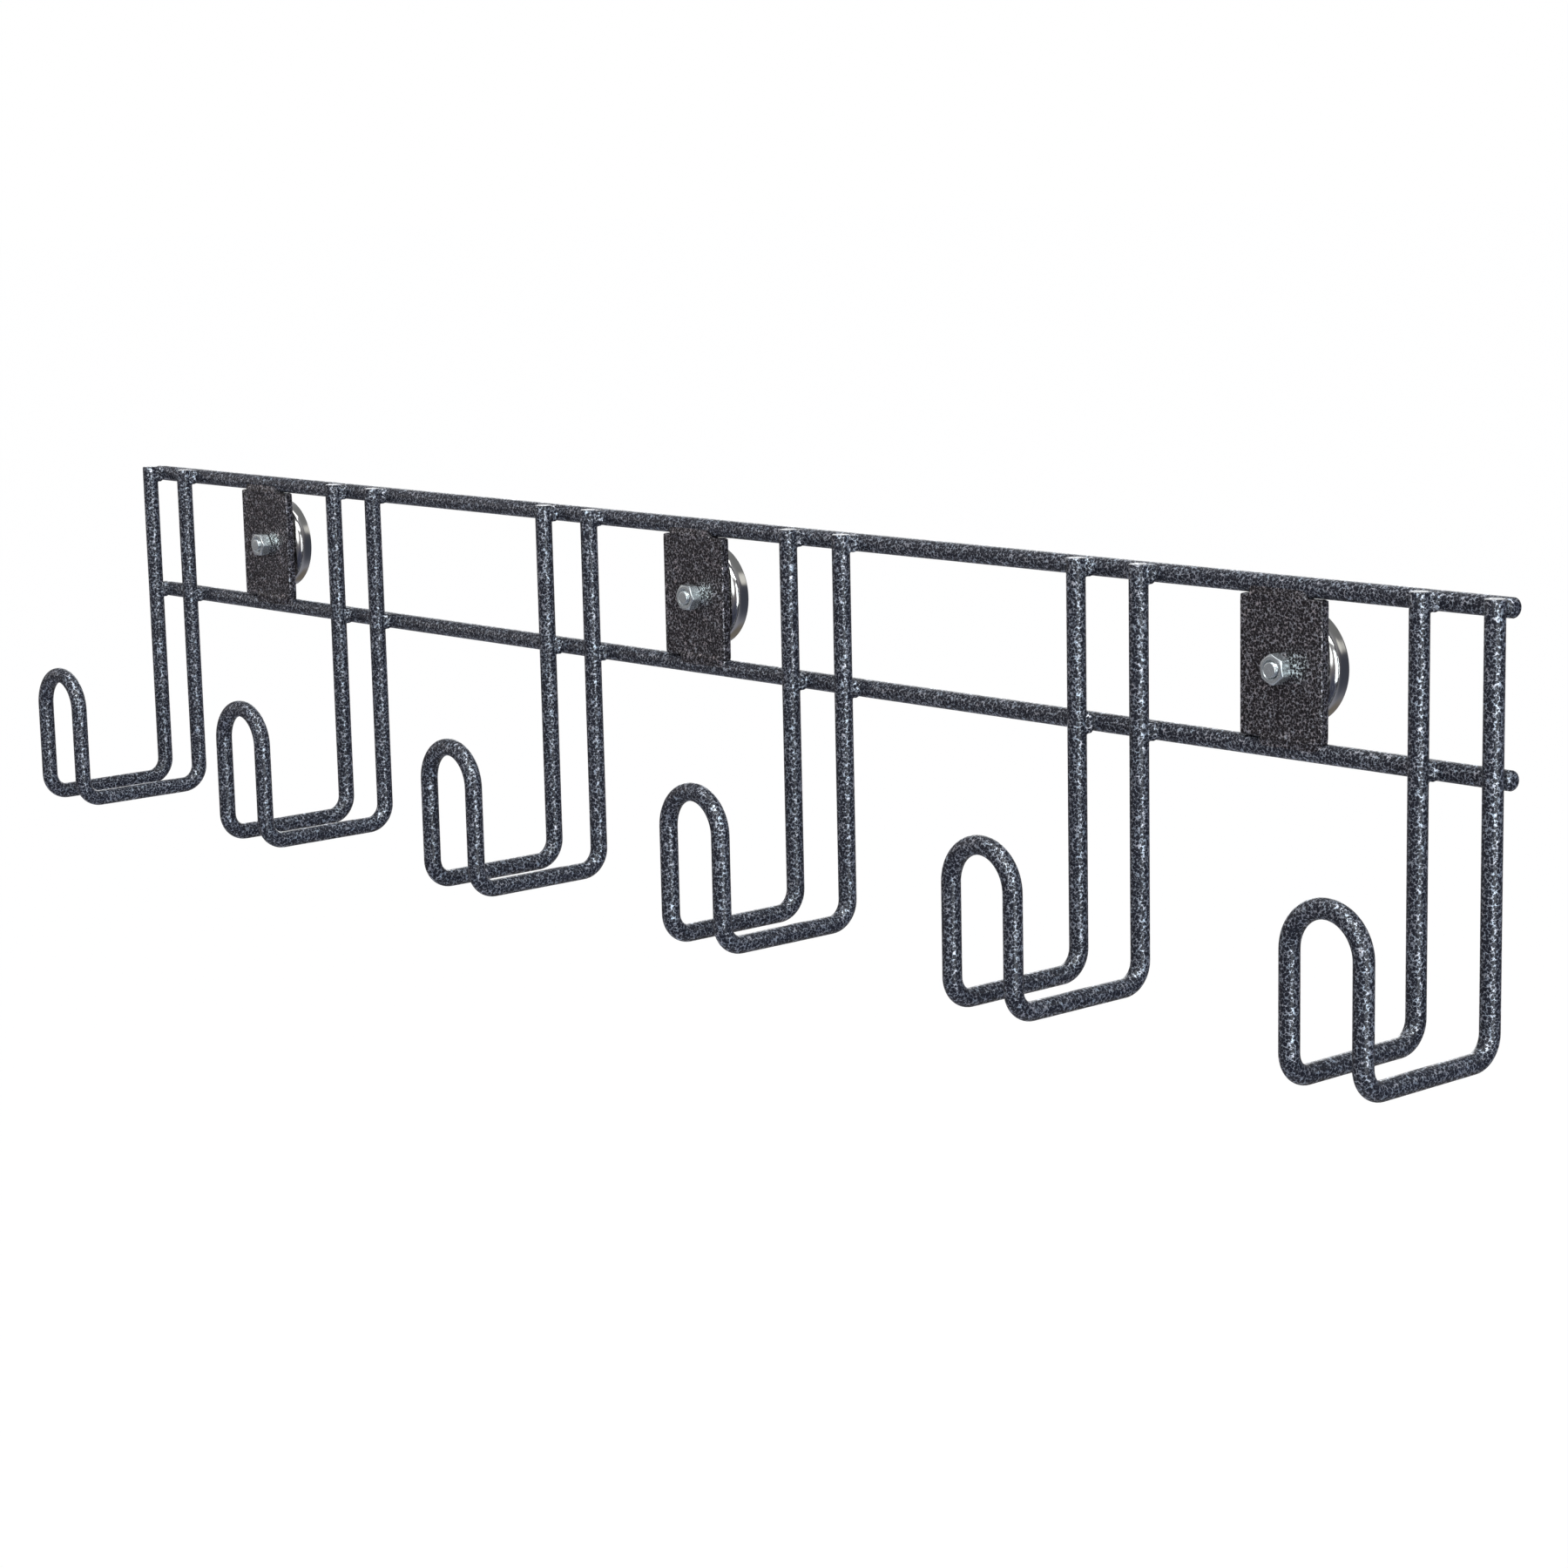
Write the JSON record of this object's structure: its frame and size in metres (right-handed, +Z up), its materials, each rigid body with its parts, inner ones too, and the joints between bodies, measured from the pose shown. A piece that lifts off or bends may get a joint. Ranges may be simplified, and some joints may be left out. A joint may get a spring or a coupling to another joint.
{
  "type": "magnetic wall rack",
  "caption": "Welded rod rack with upward J hooks on two rails, held to a steel wall by round pot magnets bolted through flat plates.",
  "frame": {"origin": "centre of the centre magnet's pole face, on the wall plane", "axes": "+X along the rails to the right as seen from the front, +Y into the wall, +Z up"},
  "size_m": [0.932, 0.0953, 0.1783],
  "materials": {
    "coat": "gloss",
    "plate_coat": "gloss",
    "cup_plating": "polished",
    "ferrite": "matte",
    "zinc": "satin"
  },
  "bodies": {
    "root": {"upper_rail": "coat", "lower_rail": "coat", "hook_1": "coat", "hook_2": "coat", "hook_3": "coat", "hook_4": "coat", "hook_5": "coat", "hook_6": "coat", "hook_welds_upper": "coat", "hook_welds_lower": "coat", "plate_welds": "coat", "magnet_plate_left": "plate_coat", "magnet_plate_centre": "plate_coat", "magnet_plate_right": "plate_coat", "magnet_cup_left": "cup_plating", "magnet_cup_centre": "cup_plating", "magnet_cup_right": "cup_plating", "magnet_ring_left": "ferrite", "magnet_ring_centre": "ferrite", "magnet_ring_right": "ferrite", "bolt_left": "zinc", "bolt_centre": "zinc", "bolt_right": "zinc", "nut_left": "zinc", "nut_centre": "zinc", "nut_right": "zinc"}
  },
  "joints": []
}
